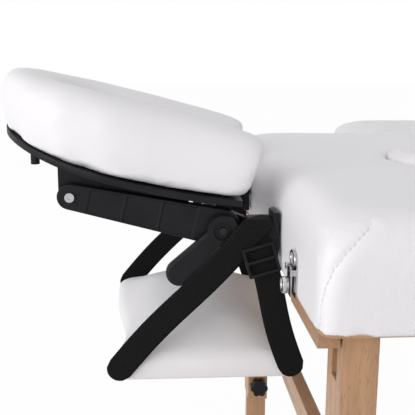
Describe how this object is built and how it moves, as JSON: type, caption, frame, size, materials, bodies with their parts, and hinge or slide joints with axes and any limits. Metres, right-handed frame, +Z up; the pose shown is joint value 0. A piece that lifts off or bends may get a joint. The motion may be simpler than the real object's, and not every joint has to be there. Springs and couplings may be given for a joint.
{
  "type": "folding massage table",
  "caption": "Suitcase-folding padded massage table with height-adjustable wooden legs, a tilting face cradle, hanging arm shelf, side armrests and a plugged breathing hole.",
  "frame": {"origin": "on the floor under the middle of the object, face cradle included", "axes": "+Z up, +X along the table from the face cradle at the head to the foot end, +Y across the table"},
  "size_m": [2.192, 0.922, 0.7498],
  "materials": {
    "white_vinyl": "soft white leather-look vinyl with a low sheen",
    "beech": "clear-lacquered beech",
    "plywood": "plain plywood panel",
    "black_plastic": "moulded black plastic, fine matt texture",
    "webbing": "woven black strap",
    "steel": "zinc-plated steel",
    "chrome": "bright plated steel",
    "foot_rubber": "matt black rubber"
  },
  "bodies": {
    "head_half": {"head_pad": "white_vinyl", "head_deck": "plywood", "head_side_rails": "beech", "head_end_rail": "beech", "head_mid_rail": "beech", "fold_hinge_head_leaves": "steel", "head_leg_pivots": "steel", "latch_plates": "chrome"},
    "foot_half": {"foot_pad": "white_vinyl", "foot_deck": "plywood", "foot_side_rails": "beech", "foot_end_rail": "beech", "foot_mid_rail": "beech", "fold_hinge_foot_leaves": "steel", "foot_leg_pivots": "steel", "latch_catches": "chrome"},
    "cradle_mount": {"cradle_base": "black_plastic", "cradle_pegs": "steel", "cam_bolt": "steel"},
    "cradle_arms": {"cradle_arm_near": "black_plastic", "cradle_arm_far": "black_plastic"},
    "cradle_head": {"cradle_platform": "black_plastic", "cradle_pivot_screws": "chrome", "face_cushion": "white_vinyl"},
    "cam_handle": {"cam_lever": "black_plastic"},
    "arm_sling": {"arm_shelf": "white_vinyl", "shelf_strap_near": "webbing", "shelf_strap_far": "webbing", "strap_buckles": "black_plastic"},
    "hole_plug": {"face_hole_plug": "white_vinyl"},
    "head_legs": {"head_leg_near": "beech", "head_leg_far": "beech", "head_leg_crossbar": "beech", "head_leg_bolts": "steel"},
    "head_leg_near_lower": {"head_leg_near_extension": "beech", "head_leg_near_foot": "foot_rubber"},
    "head_leg_near_knob_1_turn": {"head_leg_near_knob_1": "black_plastic"},
    "head_leg_near_knob_2_turn": {"head_leg_near_knob_2": "black_plastic"},
    "head_leg_far_lower": {"head_leg_far_extension": "beech", "head_leg_far_foot": "foot_rubber"},
    "head_leg_far_knob_1_turn": {"head_leg_far_knob_1": "black_plastic"},
    "head_leg_far_knob_2_turn": {"head_leg_far_knob_2": "black_plastic"},
    "foot_legs": {"foot_leg_near": "beech", "foot_leg_far": "beech", "foot_leg_crossbar": "beech", "foot_leg_bolts": "steel"},
    "foot_leg_near_lower": {"foot_leg_near_extension": "beech", "foot_leg_near_foot": "foot_rubber"},
    "foot_leg_near_knob_1_turn": {"foot_leg_near_knob_1": "black_plastic"},
    "foot_leg_near_knob_2_turn": {"foot_leg_near_knob_2": "black_plastic"},
    "foot_leg_far_lower": {"foot_leg_far_extension": "beech", "foot_leg_far_foot": "foot_rubber"},
    "foot_leg_far_knob_1_turn": {"foot_leg_far_knob_1": "black_plastic"},
    "foot_leg_far_knob_2_turn": {"foot_leg_far_knob_2": "black_plastic"},
    "armrest_near": {"armrest_near_pad": "white_vinyl", "armrest_near_support": "beech"},
    "latch_near": {"latch_lever_near": "chrome"},
    "armrest_far": {"armrest_far_pad": "white_vinyl", "armrest_far_support": "beech"},
    "latch_far": {"latch_lever_far": "chrome"}
  },
  "joints": [
    {"name": "table_fold", "type": "hinge", "parent": "head_half", "child": "foot_half", "pos_m": [0.16, 0, 0.4957], "axis": [0, 1, 0], "range_deg": [0, 180]},
    {"name": "head_legs_fold", "type": "hinge", "parent": "head_half", "child": "head_legs", "pos_m": [-0.728, 0, 0.5375], "axis": [0, -1, 0], "range_deg": [0, 90]},
    {"name": "head_leg_near_height", "type": "slide", "parent": "head_legs", "child": "head_leg_near_lower", "axis": [0, 0, -1], "range_m": [0, 0.22]},
    {"name": "head_leg_near_knob_1_spin", "type": "hinge", "parent": "head_legs", "child": "head_leg_near_knob_1_turn", "pos_m": [-0.728, -0.2467, 0.17], "axis": [0, 1, 0], "continuous": true},
    {"name": "head_leg_near_knob_2_spin", "type": "hinge", "parent": "head_legs", "child": "head_leg_near_knob_2_turn", "pos_m": [-0.728, -0.2467, 0.225], "axis": [0, 1, 0], "continuous": true},
    {"name": "head_leg_far_height", "type": "slide", "parent": "head_legs", "child": "head_leg_far_lower", "axis": [0, 0, -1], "range_m": [0, 0.22]},
    {"name": "head_leg_far_knob_1_spin", "type": "hinge", "parent": "head_legs", "child": "head_leg_far_knob_1_turn", "pos_m": [-0.728, 0.2467, 0.17], "axis": [0, 1, 0], "continuous": true},
    {"name": "head_leg_far_knob_2_spin", "type": "hinge", "parent": "head_legs", "child": "head_leg_far_knob_2_turn", "pos_m": [-0.728, 0.2467, 0.225], "axis": [0, 1, 0], "continuous": true},
    {"name": "foot_legs_fold", "type": "hinge", "parent": "foot_half", "child": "foot_legs", "pos_m": [1.048, 0, 0.5375], "axis": [0, 1, 0], "range_deg": [0, 90]},
    {"name": "foot_leg_near_height", "type": "slide", "parent": "foot_legs", "child": "foot_leg_near_lower", "axis": [0, 0, -1], "range_m": [0, 0.22]},
    {"name": "foot_leg_near_knob_1_spin", "type": "hinge", "parent": "foot_legs", "child": "foot_leg_near_knob_1_turn", "pos_m": [1.048, -0.1994, 0.17], "axis": [0, 1, 0], "continuous": true},
    {"name": "foot_leg_near_knob_2_spin", "type": "hinge", "parent": "foot_legs", "child": "foot_leg_near_knob_2_turn", "pos_m": [1.048, -0.1994, 0.225], "axis": [0, 1, 0], "continuous": true},
    {"name": "foot_leg_far_height", "type": "slide", "parent": "foot_legs", "child": "foot_leg_far_lower", "axis": [0, 0, -1], "range_m": [0, 0.22]},
    {"name": "foot_leg_far_knob_1_spin", "type": "hinge", "parent": "foot_legs", "child": "foot_leg_far_knob_1_turn", "pos_m": [1.048, 0.1994, 0.17], "axis": [0, 1, 0], "continuous": true},
    {"name": "foot_leg_far_knob_2_spin", "type": "hinge", "parent": "foot_legs", "child": "foot_leg_far_knob_2_turn", "pos_m": [1.048, 0.1994, 0.225], "axis": [0, 1, 0], "continuous": true},
    {"name": "cradle_pull_out", "type": "slide", "parent": "head_half", "child": "cradle_mount", "axis": [-1, 0, 0], "range_m": [0, 0.25]},
    {"name": "cradle_pitch", "type": "hinge", "parent": "cradle_mount", "child": "cradle_arms", "pos_m": [-0.834, 0, 0.562], "axis": [0, 1, 0], "range_deg": [-25, 12]},
    {"name": "cradle_tilt", "type": "hinge", "parent": "cradle_arms", "child": "cradle_head", "pos_m": [-1, 0, 0.599], "axis": [0, -1, 0], "range_deg": [-2, 10]},
    {"name": "cam_lever_turn", "type": "hinge", "parent": "cradle_mount", "child": "cam_handle", "pos_m": [-0.834, -0.126, 0.562], "axis": [0, 1, 0], "range_deg": [0, 40]},
    {"name": "sling_swing", "type": "hinge", "parent": "cradle_mount", "child": "arm_sling", "pos_m": [-0.802, 0, 0.564], "axis": [0, 1, 0], "range_deg": [0, 15]},
    {"name": "plug_lift", "type": "slide", "parent": "head_half", "child": "hole_plug", "axis": [0, 0, 1], "range_m": [0, 0.12]},
    {"name": "armrest_near_pull_out", "type": "slide", "parent": "head_half", "child": "armrest_near", "axis": [0, -1, 0], "range_m": [0, 0.08]},
    {"name": "latch_near_flip", "type": "hinge", "parent": "head_half", "child": "latch_near", "pos_m": [-0.7745, -0.209, 0.543], "axis": [0, 1, 0], "range_deg": [0, 110]},
    {"name": "armrest_far_pull_out", "type": "slide", "parent": "head_half", "child": "armrest_far", "axis": [0, 1, 0], "range_m": [0, 0.08]},
    {"name": "latch_far_flip", "type": "hinge", "parent": "head_half", "child": "latch_far", "pos_m": [-0.7745, 0.209, 0.543], "axis": [0, 1, 0], "range_deg": [0, 110]}
  ],
  "couplings": [
    {"joint": "head_legs_fold", "follows": "table_fold", "ratio": 0.5},
    {"joint": "foot_legs_fold", "follows": "table_fold", "ratio": 0.5},
    {"joint": "cradle_pull_out", "follows": "table_fold", "m_per_rad": 0.0795}
  ]
}
